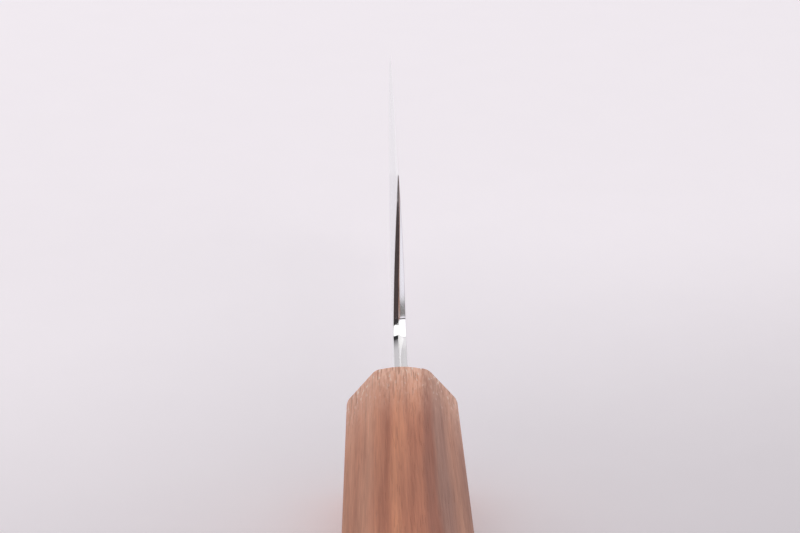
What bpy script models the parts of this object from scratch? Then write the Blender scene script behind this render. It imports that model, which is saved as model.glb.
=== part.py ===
"""A bunka kitchen knife: a laminated blade with a hidden tang in an octagonal wooden handle.

The knife stands edge up. +X runs from the butt of the handle to the tip of the blade and +Z from
the spine to the edge. The handle's lowest facet lies on z = 0, and the origin is below the middle
of the knife's length. All pieces are modelled from the mouth, the handle's front face at x = 0,
and hang on an empty that carries them to their place.
"""

import math

import bmesh
import bpy
from mathutils import Vector

MM = 0.001

# Clearances: between pieces that seat in each other, and between the forge-welded layers
FIT_GAP = 0.3 * MM
LAYER_GAP = 0.02 * MM

# Handle, an octagon that grows towards the butt
HANDLE_LENGTH = 125.0 * MM
MOUTH_WIDTH = 21.0 * MM
MOUTH_HEIGHT = 25.8 * MM
BUTT_WIDTH = 22.6 * MM
BUTT_HEIGHT = 27.5 * MM
CHAMFER_WIDTH = 5.7 * MM
CHAMFER_HEIGHT = 6.9 * MM
RIM_ROUND = 1.1 * MM
FACET_EDGE_ROUND = 1.1 * MM

# Blade outline
HEEL_X = 27.5 * MM
BLADE_LENGTH = 165.0 * MM
BLADE_HEIGHT = 49.1 * MM
SPINE_BELOW_AXIS = 6.7 * MM
SPINE_RISE = 1.2 * MM
BELLY_DROP = 14.0 * MM
BELLY_POWER = 3.6
CLIP_LENGTH = 40.0 * MM
HEEL_ROUND = 0.25 * MM

# Blade thickness
NECK_THICKNESS = 2.8 * MM
TIP_THICKNESS = 1.2 * MM
BEHIND_EDGE_THICKNESS = 0.18 * MM
GRIND_POWER = 2.25
EDGE_BEVEL_HEIGHT = 0.6 * MM
SPINE_ROUND = 0.6 * MM
RIDGE_SLOPE = 0.2
CORE_THICKNESS = 0.7 * MM

# Neck and tang
NECK_ABOVE_AXIS = 9.1 * MM
CHOIL_FILLET = 3.5 * MM
NECK_SEAT = 3.0 * MM
SHOULDER_RUN = 1.5 * MM
TANG_LENGTH = 98.0 * MM
TANG_ROOT_HEIGHT = 9.6 * MM
TANG_END_HEIGHT = 5.0 * MM
TANG_END_THICKNESS = 1.9 * MM

# Pieces inside the handle
SEAL_WALL = 0.7 * MM
SEAL_RECESS = 0.3 * MM
SEAL_CORNER = 1.0 * MM
DOWEL_MARGIN = 0.9 * MM
BORE_END_ROOM = 3.0 * MM

# Most that a rounding or bevel may take of the steel's half thickness, and of a section's height
THICKNESS_SHARE = 0.7
HEIGHT_SHARE = 0.3

# How finely the forms are divided, and how they are shaded
FACE_ROWS = 9
ROUND_STEPS = 3
TANG_STEPS = 5
NECK_STEPS = 4
FILLET_STEPS = 6
CHOIL_STEPS = 9
HEEL_STEPS = 3
EDGE_STEPS = 22
CLIP_STEPS = 9
CLIP_CROWDING = 1.5
CHOIL_FAN_LENGTH = 9.0 * MM
CORNER_STEPS = 4
RIM_STEPS = 3
BORE_SIDES = 40
SMOOTH_BELOW = math.radians(12)

# Places that follow from the sizes
AXIS_Z = MOUTH_HEIGHT / 2
SPINE_Z = AXIS_Z - SPINE_BELOW_AXIS
NECK_TOP_Z = AXIS_Z + NECK_ABOVE_AXIS
HEEL_Z = SPINE_Z + BLADE_HEIGHT
TIP_X = HEEL_X + BLADE_LENGTH
TIP_Z = HEEL_Z - BELLY_DROP
CLIP_X = TIP_X - CLIP_LENGTH
SHOULDER_X = -NECK_SEAT - SHOULDER_RUN
POCKET_DEPTH = NECK_SEAT + SHOULDER_RUN + FIT_GAP
BORE_DEPTH = TANG_LENGTH + BORE_END_ROOM
DOWEL_RADIUS = math.hypot(TANG_ROOT_HEIGHT, NECK_THICKNESS) / 2 + DOWEL_MARGIN
BORE_RADIUS = DOWEL_RADIUS + FIT_GAP
WIDEST_ROUND = max(FACET_EDGE_ROUND, RIM_ROUND)
MOUTH_X = (HANDLE_LENGTH - TIP_X) / 2

WALNUT = ("walnut", (0.386, 0.191, 0.107), 0.55, 0.0)
DOWEL_WOOD = ("dowel_wood", (0.62, 0.47, 0.30), 0.7, 0.0)
CLADDING_STEEL = ("cladding_steel", (0.60, 0.60, 0.61), 0.3, 1.0)
CORE_STEEL = ("core_steel", (0.68, 0.68, 0.70), 0.18, 1.0)
RESIN = ("resin", (0.05, 0.035, 0.025), 0.4, 0.0)


def mix(start, end, share):
    return start + (end - start) * share


def edge_z(x):
    """Height of the cutting edge: almost straight from the heel, then a belly that falls to the tip."""
    share = min(max((x - HEEL_X) / BLADE_LENGTH, 0.0), 1.0)
    return HEEL_Z - BELLY_DROP * share**BELLY_POWER


def full_spine_z(x):
    """Height of the spine as if the point weren't clipped."""
    share = (x - HEEL_X) / (CLIP_X - HEEL_X)
    return SPINE_Z + SPINE_RISE * max(share, 0.0)


def bottom_z(x):
    """Lower outline: tang, shoulder, spine, and the straight clip up to the tip."""
    if x <= SHOULDER_X:
        return AXIS_Z - tang_height(x) / 2
    if x < -NECK_SEAT:
        share = (x - SHOULDER_X) / SHOULDER_RUN
        return mix(AXIS_Z - TANG_ROOT_HEIGHT / 2, SPINE_Z, share)
    if x <= CLIP_X:
        return full_spine_z(x)
    return mix(SPINE_Z + SPINE_RISE, TIP_Z, (x - CLIP_X) / CLIP_LENGTH)


def tang_height(x):
    return mix(TANG_ROOT_HEIGHT, TANG_END_HEIGHT, (x - SHOULDER_X) / (-TANG_LENGTH - SHOULDER_X))


def spine_thickness(x):
    """The steel is thickest at the neck and thins towards the tip and the end of the tang."""
    if x < 0.0:
        return mix(NECK_THICKNESS, TANG_END_THICKNESS, -x / TANG_LENGTH)
    share = min(max((x - HEEL_X) / BLADE_LENGTH, 0.0), 1.0)
    return mix(NECK_THICKNESS, TIP_THICKNESS, share)


def half_thickness(point):
    """Half of the steel's thickness at (x, z): a convex grind from the spine down to the edge."""
    x, z = point
    top = edge_z(x)
    depth = (top - z) / (top - full_spine_z(x))
    depth = min(max(depth, 0.0), 1.0)
    ground = 1.0 - (1.0 - depth) ** GRIND_POWER
    return mix(BEHIND_EDGE_THICKNESS, spine_thickness(x), ground) / 2


def arc(centre, radius, start, end, steps):
    """Points on an arc in (x, z), from start to end in degrees."""
    points = []
    for step in range(steps + 1):
        angle = math.radians(mix(start, end, step / steps))
        points.append(centre + radius * Vector((math.cos(angle), math.sin(angle))))
    return points


def column_ends():
    """Pairs of points (x, z) on the upper and lower outline, from the end of the tang to near the tip.

    From the tang to the end of the fillet a pair stands upright. The choil's pairs fan out towards
    the spine, and the edge's pairs straighten up again on the way to the tip. No two pairs cross.
    """
    pairs = []
    for step in range(TANG_STEPS + 1):
        x = mix(-TANG_LENGTH, SHOULDER_X, step / TANG_STEPS)
        pairs.append((Vector((x, AXIS_Z + tang_height(x) / 2)), x))
    fillet_x = HEEL_X - CHOIL_FILLET
    for step in range(NECK_STEPS):
        x = mix(-NECK_SEAT, fillet_x, step / NECK_STEPS)
        pairs.append((Vector((x, NECK_TOP_Z)), x))

    corner = Vector((fillet_x, NECK_TOP_Z + CHOIL_FILLET))
    fillet = arc(corner, CHOIL_FILLET, -90.0, 0.0, FILLET_STEPS)
    pairs += [(point, point.x) for point in fillet]
    choil_foot = fillet[FILLET_STEPS]
    choil_top = Vector((HEEL_X, HEEL_Z - HEEL_ROUND))
    rising = [choil_foot.lerp(choil_top, step / CHOIL_STEPS) for step in range(1, CHOIL_STEPS)]
    rising += arc(choil_top + Vector((HEEL_ROUND, 0.0)), HEEL_ROUND, 180.0, 90.0, HEEL_STEPS)
    fan_x = HEEL_X + HEEL_ROUND + CHOIL_FAN_LENGTH
    for point in rising:
        share = (point.y - choil_foot.y) / (HEEL_Z - choil_foot.y)
        pairs.append((point, mix(HEEL_X, fan_x, share)))

    start_x = HEEL_X + HEEL_ROUND
    below = [mix(fan_x, CLIP_X, step / EDGE_STEPS) for step in range(1, EDGE_STEPS + 1)]
    for step in range(1, CLIP_STEPS):
        below.append(mix(CLIP_X, TIP_X, 1.0 - (1.0 - step / CLIP_STEPS) ** CLIP_CROWDING))
    for x in below:
        above = mix(start_x, TIP_X, (x - fan_x) / (TIP_X - fan_x))
        pairs.append((Vector((above, edge_z(above))), x))
    return [(top, Vector((x, bottom_z(x)))) for top, x in pairs]


def inward(points, index, turn):
    """Unit normal of a polyline at a point, turned to the left for 1 and to the right for -1."""
    before = points[max(index - 1, 0)]
    after = points[min(index + 1, len(points) - 1)]
    along = (after - before).normalized()
    return turn * Vector((-along.y, along.x))


def face_start(tops, index, span):
    """Where a face begins below the upper outline: under a low roof, or under the bevel of the edge."""
    top = tops[index]
    roof = top + inward(tops, index, -1) * RIDGE_SLOPE * half_thickness(top)
    bevel = top - Vector((0.0, min(EDGE_BEVEL_HEIGHT, HEIGHT_SHARE * span)))
    share = min(max((top.x - HEEL_X) / HEEL_ROUND, 0.0), 1.0)
    return roof.lerp(bevel, share)


def column(tops, bottoms, index):
    """One side of a section as (x, y, z), from the ridge over the face to the middle of the spine."""
    top, bottom = tops[index], bottoms[index]
    span = (top - bottom).length
    start = face_start(tops, index, span)
    up = inward(bottoms, index, 1)
    radius = min(SPINE_ROUND, THICKNESS_SHARE * half_thickness(bottom), HEIGHT_SHARE * span)
    round_start = bottom + up * radius
    outer = half_thickness(round_start)

    rows = [(top, 0.0)]
    for row in range(FACE_ROWS + 1):
        place = start.lerp(round_start, row / FACE_ROWS)
        rows.append((place, half_thickness(place)))
    for step in range(1, ROUND_STEPS + 1):
        angle = math.pi / 2 * step / ROUND_STEPS
        place = bottom + up * radius * (1.0 - math.sin(angle))
        rows.append((place, outer - radius * (1.0 - math.cos(angle))))
    rows.append((bottom, 0.0))
    return [Vector((place.x, y, place.y)) for place, y in rows]


def blank():
    """The whole forged and ground blank: tang, neck and blade as one closed mesh."""
    bm = bmesh.new()
    tops, bottoms = zip(*column_ends())
    columns = []
    for index in range(len(tops)):
        columns.append([bm.verts.new(point) for point in column(tops, bottoms, index)])
    bm.faces.new(columns[0])
    for near, far in zip(columns, columns[1:]):
        for row in range(len(near) - 1):
            bm.faces.new((near[row], far[row], far[row + 1], near[row + 1]))
    tip = bm.verts.new((TIP_X, 0.0, TIP_Z))
    last = columns[-1]
    for row in range(len(last) - 1):
        bm.faces.new((last[row], tip, last[row + 1]))
    bmesh.ops.mirror(bm, geom=bm.verts[:] + bm.edges[:] + bm.faces[:], axis="Y", merge_dist=1e-7)
    bmesh.ops.dissolve_degenerate(bm, dist=1e-7, edges=bm.edges)
    bmesh.ops.recalc_face_normals(bm, faces=bm.faces)
    return bm


def cut_flat(bm, y, side):
    """Removes what lies beyond the plane at y, on the side +1 or -1, and closes the cut."""
    geometry = bm.verts[:] + bm.edges[:] + bm.faces[:]
    cut = bmesh.ops.bisect_plane(
        bm, geom=geometry, dist=1e-8, plane_co=(0, y, 0), plane_no=(0, side, 0), clear_outer=True
    )
    edges = [item for item in cut["geom_cut"] if isinstance(item, bmesh.types.BMEdge)]
    bmesh.ops.holes_fill(bm, edges=edges)
    bmesh.ops.recalc_face_normals(bm, faces=bm.faces)


def rounded_bar(width, height, radius, start, end, centre_z):
    """A bar along X with its long edges rounded."""
    bm = bmesh.new()
    bmesh.ops.create_cube(bm, size=1.0)
    bmesh.ops.scale(bm, vec=(end - start, width, height), verts=bm.verts)
    bmesh.ops.translate(bm, vec=((start + end) / 2, 0, centre_z), verts=bm.verts)
    long_edges = [edge for edge in bm.edges if abs(edge.verts[0].co.x - edge.verts[1].co.x) > 0]
    bmesh.ops.bevel(
        bm, geom=long_edges, offset=radius, segments=CORNER_STEPS, profile=0.5, affect="EDGES"
    )
    return bm


def round_bar(radius, start, end):
    """A bar along X on the axis of the handle's bore."""
    bm = bmesh.new()
    bmesh.ops.create_cone(
        bm,
        cap_ends=True,
        segments=BORE_SIDES,
        radius1=radius,
        radius2=radius,
        depth=end - start,
    )
    turn = Vector((0, 0, 1)).rotation_difference(Vector((1, 0, 0))).to_matrix()
    bmesh.ops.rotate(bm, cent=(0, 0, 0), matrix=turn, verts=bm.verts)
    bmesh.ops.translate(bm, vec=((start + end) / 2, 0, AXIS_Z), verts=bm.verts)
    return bm


def material(name, colour, roughness, metallic):
    made = bpy.data.materials.get(name)
    if made:
        return made
    made = bpy.data.materials.new(name)
    made.use_nodes = True
    shader = made.node_tree.nodes["Principled BSDF"]
    shader.inputs["Base Color"].default_value = (*colour, 1.0)
    shader.inputs["Roughness"].default_value = roughness
    shader.inputs["Metallic"].default_value = metallic
    return made


def add_object(name, bm, collection, parent, finish=None):
    """Makes an object of a bmesh, with its finish and shading smooth over gentle bends."""
    mesh = bpy.data.meshes.new(name)
    bm.to_mesh(mesh)
    bm.free()
    mesh.shade_smooth()
    mesh.set_sharp_from_angle(angle=SMOOTH_BELOW)
    if finish:
        mesh.materials.append(material(*finish))
    made = bpy.data.objects.new(name, mesh)
    collection.objects.link(made)
    made.parent = parent
    return made


def add_cutter(name, bm, collection, parent):
    made = add_object(name, bm, collection, parent)
    made.hide_render = True
    made.display_type = "WIRE"
    return made


def subtract(target, cutter):
    cut = target.modifiers.new("cut_" + cutter.name, "BOOLEAN")
    cut.operation = "DIFFERENCE"
    cut.solver = "EXACT"
    cut.object = cutter


def make_blade(collection, parent):
    """The three steel layers, cut from the blank along flat planes as they lie after forging."""
    core_side = CORE_THICKNESS / 2
    cladding_side = core_side + LAYER_GAP
    core = blank()
    cut_flat(core, core_side, 1)
    cut_flat(core, -core_side, -1)
    add_object("core_steel", core, collection, parent, CORE_STEEL)
    for name, side in (("cladding_left", 1), ("cladding_right", -1)):
        cladding = blank()
        cut_flat(cladding, side * cladding_side, -side)
        add_object(name, cladding, collection, parent, CLADDING_STEEL)


def octagon(width, height):
    """Corners (y, z) of a rectangle that stands on z = 0 and has its four corners cut off."""
    cut_y = CHAMFER_WIDTH * width / MOUTH_WIDTH
    cut_z = CHAMFER_HEIGHT * height / MOUTH_HEIGHT
    half = width / 2
    right = [(half - cut_y, 0.0), (half, cut_z), (half, height - cut_z), (half - cut_y, height)]
    left = [(-y, z) for y, z in reversed(right)]
    return right + left


def handle_block():
    """The octagonal block, extruded from the mouth to the butt and widened on the way."""
    bm = bmesh.new()
    mouth = bm.faces.new([bm.verts.new((0.0, y, z)) for y, z in octagon(MOUTH_WIDTH, MOUTH_HEIGHT)])
    grown = bmesh.ops.extrude_face_region(bm, geom=[mouth], use_keep_orig=True)
    butt = [item for item in grown["geom"] if isinstance(item, bmesh.types.BMVert)]
    bmesh.ops.translate(bm, vec=(-HANDLE_LENGTH, 0, 0), verts=butt)
    bmesh.ops.scale(bm, vec=(1, BUTT_WIDTH / MOUTH_WIDTH, BUTT_HEIGHT / MOUTH_HEIGHT), verts=butt)
    bmesh.ops.recalc_face_normals(bm, faces=bm.faces)
    weight = bm.edges.layers.float.new("bevel_weight_edge")
    for edge in bm.edges:
        runs_along = abs(edge.verts[0].co.x - edge.verts[1].co.x) > HANDLE_LENGTH / 2
        edge[weight] = (FACET_EDGE_ROUND if runs_along else RIM_ROUND) / WIDEST_ROUND
    return bm


def make_handle(collection, cutters, parent):
    """The wooden handle with the tang's bore and a pocket for the seal at its mouth."""
    handle = add_object("handle", handle_block(), collection, parent, WALNUT)
    rounding = handle.modifiers.new("rounding", "BEVEL")
    rounding.limit_method = "WEIGHT"
    rounding.width = WIDEST_ROUND
    rounding.segments = RIM_STEPS

    bore = round_bar(BORE_RADIUS, -BORE_DEPTH, -POCKET_DEPTH / 2)
    subtract(handle, add_cutter("bore_cutter", bore, cutters, parent))
    wall = SEAL_WALL + 2 * FIT_GAP
    pocket = neck_bar(wall, SEAL_CORNER + FIT_GAP, -POCKET_DEPTH, POCKET_DEPTH)
    subtract(handle, add_cutter("pocket_cutter", pocket, cutters, parent))
    flat_facets = handle.modifiers.new("flat_facets", "WEIGHTED_NORMAL")
    flat_facets.keep_sharp = True


def neck_bar(margin, radius, start, end):
    """A bar round the neck's section, larger than it by a margin on every side."""
    width = NECK_THICKNESS + 2 * margin
    height = NECK_TOP_Z - SPINE_Z + 2 * margin
    return rounded_bar(width, height, radius, start, end, (NECK_TOP_Z + SPINE_Z) / 2)


def make_seal(collection, cutters, parent):
    """The resin collar that fills the mouth round the neck."""
    back = FIT_GAP - POCKET_DEPTH
    outside = neck_bar(SEAL_WALL + FIT_GAP, SEAL_CORNER, back, -SEAL_RECESS)
    seal = add_object("mouth_seal", outside, collection, parent, RESIN)
    inside = neck_bar(FIT_GAP, FIT_GAP, back - POCKET_DEPTH, POCKET_DEPTH)
    subtract(seal, add_cutter("neck_cutter", inside, cutters, parent))


def make_dowel(collection, parent):
    """The two halves of the dowel that grip the tang in the bore."""
    inner = NECK_THICKNESS / 2 + FIT_GAP
    for name, side in (("dowel_left", 1), ("dowel_right", -1)):
        half = round_bar(DOWEL_RADIUS, FIT_GAP - BORE_DEPTH, -POCKET_DEPTH)
        cut_flat(half, side * inner, -side)
        add_object(name, half, collection, parent, DOWEL_WOOD)


def clear_scene():
    for obj in list(bpy.data.objects):
        bpy.data.objects.remove(obj, do_unlink=True)


def new_collection(name):
    made = bpy.data.collections.new(name)
    bpy.context.scene.collection.children.link(made)
    return made


def main():
    clear_scene()
    knife = new_collection("bunka_knife")
    cutters = new_collection("cutters")
    cutters.hide_render = True
    mouth = bpy.data.objects.new("mouth", None)
    mouth.location = (MOUTH_X, 0.0, 0.0)
    knife.objects.link(mouth)
    make_blade(knife, mouth)
    make_handle(knife, cutters, mouth)
    make_seal(knife, cutters, mouth)
    make_dowel(knife, mouth)


main()
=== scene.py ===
"""A bunka knife that stands edge up, seen from behind its handle, with every surface finished."""

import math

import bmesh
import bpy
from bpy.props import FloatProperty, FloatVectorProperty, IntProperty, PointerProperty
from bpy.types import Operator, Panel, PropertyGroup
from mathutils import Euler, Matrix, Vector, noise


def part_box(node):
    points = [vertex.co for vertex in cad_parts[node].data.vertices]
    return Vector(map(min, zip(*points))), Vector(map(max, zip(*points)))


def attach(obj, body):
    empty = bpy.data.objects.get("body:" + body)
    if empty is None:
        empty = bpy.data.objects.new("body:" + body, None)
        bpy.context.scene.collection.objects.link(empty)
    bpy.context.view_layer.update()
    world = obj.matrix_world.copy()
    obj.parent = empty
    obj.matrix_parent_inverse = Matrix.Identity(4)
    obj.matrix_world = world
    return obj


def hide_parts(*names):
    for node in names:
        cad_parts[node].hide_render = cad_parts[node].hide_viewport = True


bl_info = {
    "name": "Bunka Knife",
    "version": (1, 0, 0),
    "blender": (4, 5, 0),
    "location": "View3D > Sidebar > Knife",
    "description": "Finishes a laminated kitchen knife with an octagonal walnut handle",
    "category": "Add Mesh",
}

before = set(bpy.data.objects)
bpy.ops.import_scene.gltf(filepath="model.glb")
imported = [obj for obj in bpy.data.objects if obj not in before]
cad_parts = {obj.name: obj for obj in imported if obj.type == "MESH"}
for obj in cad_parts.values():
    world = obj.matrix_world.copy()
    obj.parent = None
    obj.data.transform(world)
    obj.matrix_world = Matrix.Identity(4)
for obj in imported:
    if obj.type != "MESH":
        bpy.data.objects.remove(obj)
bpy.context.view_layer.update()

MM = 0.001
PICTURE_WIDTH = 800

# How many rows of a blade section run over the ridge, round the corner, over the face and round the spine
RIDGE_ROWS = 4
CORNER_ROWS = 4
CORE_ROWS = 8
FACE_ROWS = 32
SPINE_ROWS = 6

# How many columns stand along each stretch of the steel, and how they crowd towards the tip
TANG_STEPS = 12
NECK_STEPS = 12
BLEND_STEPS = 16
FILLET_STEPS = 18
CHOIL_STEPS = 40
HEEL_STEPS = 6
CLIP_STEPS = 46
CLIP_CROWDING = 1.5

# The rows where a layer may end: on the facet beside the ridge, on the face, or on the spine
FACET_ROW = RIDGE_ROWS + 1
FACE_START = FACET_ROW + CORNER_ROWS + 1
SEAM_ROW = FACE_START + CORE_ROWS
FACE_END = FACE_START + FACE_ROWS
SPINE_ROW = FACE_END + SPINE_ROWS + 1

GROUND = 0
FACE = 1

# Where the outline's corners are looked for: before the mouth, above the fillet, and beside the spine
NEAR_MOUTH = 5 * MM
ABOVE_FILLET = 0.6
NEAR_SPINE = 3 * MM

# The neck rises to the fillet by this power of the way, and its facets turn into the choil's over this
# share of the choil's height
RISE_POWER = 3
CHOIL_START = 0.1

# Most that a rounding or bevel may take: a part of half a section's width, a share of the half
# thickness, and a share of a section's height
WIDTH_PARTS = 3
THICKNESS_SHARE = 0.7
HEIGHT_SHARE = 0.3

# Waves of the core's thickness: their lengths along and across the blade, the layer of noise that each
# is cut from, and how strong the fine one is
SLOW_WAVE = (23 * MM, 15 * MM)
FINE_WAVE = (5 * MM, 9 * MM)
SLOW_LAYER = 3.0
FINE_LAYER = 7.0
FINE_SHARE = 0.35

# The search for the seam between core and cladding, and the least share of the face above it
HALVINGS = 30
LEAST_SEAM = 0.02

# How close points weld together, and the bends that stay sharp on steel and on wood
WELD = 1e-7
SHARP_STEEL = math.radians(35)
SHARP_WOOD = math.radians(40)

# How finely the handle is divided
FACET_STEPS = 8
ROUND_STEPS = 5
RIM_STEPS = 6
BODY_STEPS = 40

# The facet on top of the handle, counted from the lower right corner, and the least rounding beside it
TOP_FACET = 3
LEAST_ROUND = 0.3 * MM

# The handle's pocket and bore: rounding of the pocket, how far a cutter reaches past, and their sides
POCKET_ROUND = 1.3 * MM
CUT_PAST = 2 * MM
POCKET_STEPS = 6
BORE_SIDES = 64

# A noise lies mostly between these two values
NOISE_LOW = 0.3
NOISE_HIGH = 0.7


def mix(start, end, share):
    return start + (end - start) * share


def smooth(way):
    """A way from 0 to 1 that starts and ends gently."""
    return way**2 * (3.0 - 2.0 * way)


def quarter_turn(steps):
    """(sine, 1 - cosine) of evenly spaced angles from 0 to 90 degrees."""
    angles = [math.pi / 2 * step / steps for step in range(steps + 1)]
    return [(math.sin(angle), 1.0 - math.cos(angle)) for angle in angles]


def length(label, description, value):
    """A property that holds a length, given in metres."""
    return FloatProperty(
        name=label, description=description, default=value, min=0.0, unit="LENGTH", precision=5
    )


def degrees(label, description, value):
    """A property that holds an angle, given in degrees."""
    return FloatProperty(name=label, description=description, default=math.radians(value), subtype="ANGLE")


def watts(label, description, value):
    return FloatProperty(name=label, description=description, default=value, min=0.0, unit="POWER")


def number(label, description, value, least=0.0):
    return FloatProperty(name=label, description=description, default=value, min=least)


def share(label, description, value):
    return FloatProperty(name=label, description=description, default=value, min=0.0, max=1.0)


def colour(label, description, value):
    return FloatVectorProperty(
        name=label, description=description, default=value, size=3, min=0.0, max=1.0, subtype="COLOR"
    )


class BladeOutline:
    """The blade's outline, read from the frame's core steel."""

    def __init__(self):
        corners = [vertex.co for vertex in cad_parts["core_steel"].data.vertices]
        low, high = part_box("core_steel")
        self.mouth_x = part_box("handle")[1].x
        self.axis_z = (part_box("dowel_left")[0].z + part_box("dowel_left")[1].z) / 2
        self.tang_end_x = low.x
        self.spine_z = low.z
        self.heel_z = high.z
        in_front = [co for co in corners if abs(co.x - self.mouth_x) < NEAR_MOUTH]
        self.neck_top_z = max(co.z for co in in_front)
        upper = [co for co in corners if co.z > mix(self.neck_top_z, high.z, ABOVE_FILLET)]
        self.heel_x = min(co.x for co in upper)
        tip = max(corners, key=lambda co: co.x)
        self.tip_x, self.tip_z = tip.x, tip.z
        clip = max((co for co in corners if co.z < low.z + NEAR_SPINE), key=lambda co: co.x)
        self.clip_x, self.clip_z = clip.x, clip.z


OUTLINE = BladeOutline()


class BladeSizes(PropertyGroup):
    """How the steel is ground. Its outline comes from the frame."""

    neck_thickness: length("Neck thickness", "Thickness of the steel at the neck", 0.0028)
    tip_thickness: length("Tip thickness", "Thickness that the spine thins to", 0.0012)
    behind_edge: length("Behind the edge", "Thickness just behind the edge's bevel", 0.00018)
    edge_bevel: length("Edge bevel", "Height of the bevel along the edge", 0.0006)
    spine_round: length("Spine rounding", "Radius of the spine's corners", 0.0006)
    neck_ridge_place: length("Neck ridge", "How far left of the middle it runs", 0.00029)
    neck_left_ridge: length("Left half", "Width of the rounding left of the neck's ridge", 0.00006)
    neck_right_ridge: length("Right half", "Width of the rounding right of the neck's ridge", 0.0003)
    choil_ridge_place: length("Choil ridge", "How far left of the middle it starts at the fillet", 0.00014)
    choil_ridge: length("Choil ridge's half", "Half the width of its rounding", 0.00014)
    corner_round: length("Corner rounding", "Radius of the corners of neck and choil", 0.00012)
    choil_fillet: length("Choil fillet", "Radius between the neck and the choil", 0.0035)
    neck_blend: length("Neck blend", "Length over which the neck starts to rise to the fillet", 0.008)
    blend_angle: degrees("Blend angle", "How steep the neck gets at the fillet", 6)
    heel_round: length("Heel rounding", "Radius of the heel's corner", 0.00025)
    choil_fan: length("Choil fan", "How far the sections at the choil fan out on the spine", 0.009)
    belly_power: number("Belly", "How late the edge starts to fall to the tip", 3.6, 1.0)
    grind_power: number("Grind", "How convex the faces are, 1 for flat", 2.25, 1.0)
    left_slope: share("Left slope", "Slope of the left facet on neck and choil", 0.27)
    right_slope: share("Right slope", "Slope of the right facet on the neck", 0.14)
    choil_slope: share("Choil slope", "Slope of the right facet on the choil", 0.2)
    ridge_aside: share("Ridge aside", "How far right the ridge runs out at the heel", 0.9)
    core_thickness: length("Core thickness", "Thickness of the middle layer of steel", 0.0007)
    core_waver: share("Core waver", "How unevenly the layers were forged out", 0.22)
    neck_seat: length("Neck seat", "How far the neck goes into the handle", 0.003)
    shoulder_run: length("Shoulder", "Length of the slope from the neck to the tang", 0.0015)
    tang_root: length("Tang root", "Height of the tang at the shoulder", 0.0096)
    tang_end: length("Tang end", "Height of the tang at its end", 0.005)
    tang_thickness: length("Tang thickness", "Thickness of the tang at its end", 0.0019)
    edge_steps: IntProperty(name="Edge steps", description="Columns along the edge", default=110, min=8)


class HandleSizes(PropertyGroup):
    """The octagonal block, whose length comes from the frame."""

    mouth_width: length("Mouth width", "Width at the mouth", 0.021)
    mouth_height: length("Mouth height", "Height at the mouth", 0.0258)
    butt_width: length("Butt width", "Width at the butt", 0.0226)
    butt_height: length("Butt height", "Height at the butt", 0.0275)
    chamfer_width: length("Chamfer width", "Width that a chamfer takes at the mouth", 0.0057)
    chamfer_height: length("Chamfer height", "Height that a chamfer takes at the mouth", 0.0069)
    edge_round: length("Edge rounding", "Radius of the softened edges between the facets", 0.0026)
    rim_round: length("Rim rounding", "Radius of the rims at the mouth and the butt", 0.0011)
    crown: length("Crown", "How much higher the top is at its middle than at its edges", 0.0004)
    bore_gap: length("Bore gap", "Room between the bore and the dowel", 0.0003)


class Finishes(PropertyGroup):
    """The colours of the materials."""

    core: colour("Core steel", "Colour of the middle layer", (0.74, 0.73, 0.73))
    cladding: colour("Cladding steel", "Colour of the outer layers", (0.79, 0.785, 0.79))
    wood_dark: colour("Dark wood", "Colour of the late wood", (0.38, 0.134, 0.082))
    wood_mid: colour("Wood", "Main colour of the handle", (0.58, 0.207, 0.111))
    wood_light: colour("Light wood", "Colour of the bright streaks", (0.69, 0.262, 0.136))
    # The pale wood paints sheen on the chamfers; the grey wood is a grey streak that also paints sheen
    wood_pale_sheen: colour("Pale wood", "Colour of the layers at the sides", (0.66, 0.302, 0.186))
    wood_grey_and_sheen: colour("Grey wood", "Colour of the grey layer", (0.40, 0.195, 0.142))
    # Sanded wood at the mouth, painted paler with the sheen it reflects
    wood_bare_and_sheen: colour("Bare wood", "Colour of the sanded wood at the mouth", (1.0, 0.6, 0.445))
    pore: colour("Pores", "Colour of the open pores", (0.34, 0.115, 0.058))
    dowel_dark: colour("Dark dowel wood", "Late wood of the dowel", (0.42, 0.30, 0.18))
    dowel_light: colour("Light dowel wood", "Early wood of the dowel", (0.68, 0.55, 0.38))
    resin: colour("Resin", "Colour of the seal at the mouth", (0.045, 0.03, 0.022))
    floor: colour("Floor", "Colour of the floor", (0.86, 0.823, 0.86))


class StageSettings(PropertyGroup):
    """Where the camera stands, what it sees and how the stage is lit."""

    camera_place: FloatVectorProperty(
        name="Camera place",
        description="Where the camera stands",
        default=(-0.42804, 0.00517, 0.17417),
        size=3,
        subtype="TRANSLATION",
    )
    pitch: degrees("Pitch", "How far the camera looks down", 18.094)
    yaw: degrees("Yaw", "How far it looks to the right", 0.727)
    roll: degrees("Roll", "How far it is turned about its view", -0.486)
    focal_pixels: number("Focal length", "In pixels of the picture", 2233.4)
    key_power: watts("Key light", "Power of the softbox overhead", 3.4)
    side_power: watts("Side light", "Power of the right softbox", 0.2)
    sky: number("Sky", "Strength of the light from all round", 0.48)
    # The floor's painted glow: light painted into the floor, which is no lamp
    floor_painted_glow: number("Floor glow", "Light from below the floor", 0.34)


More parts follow.
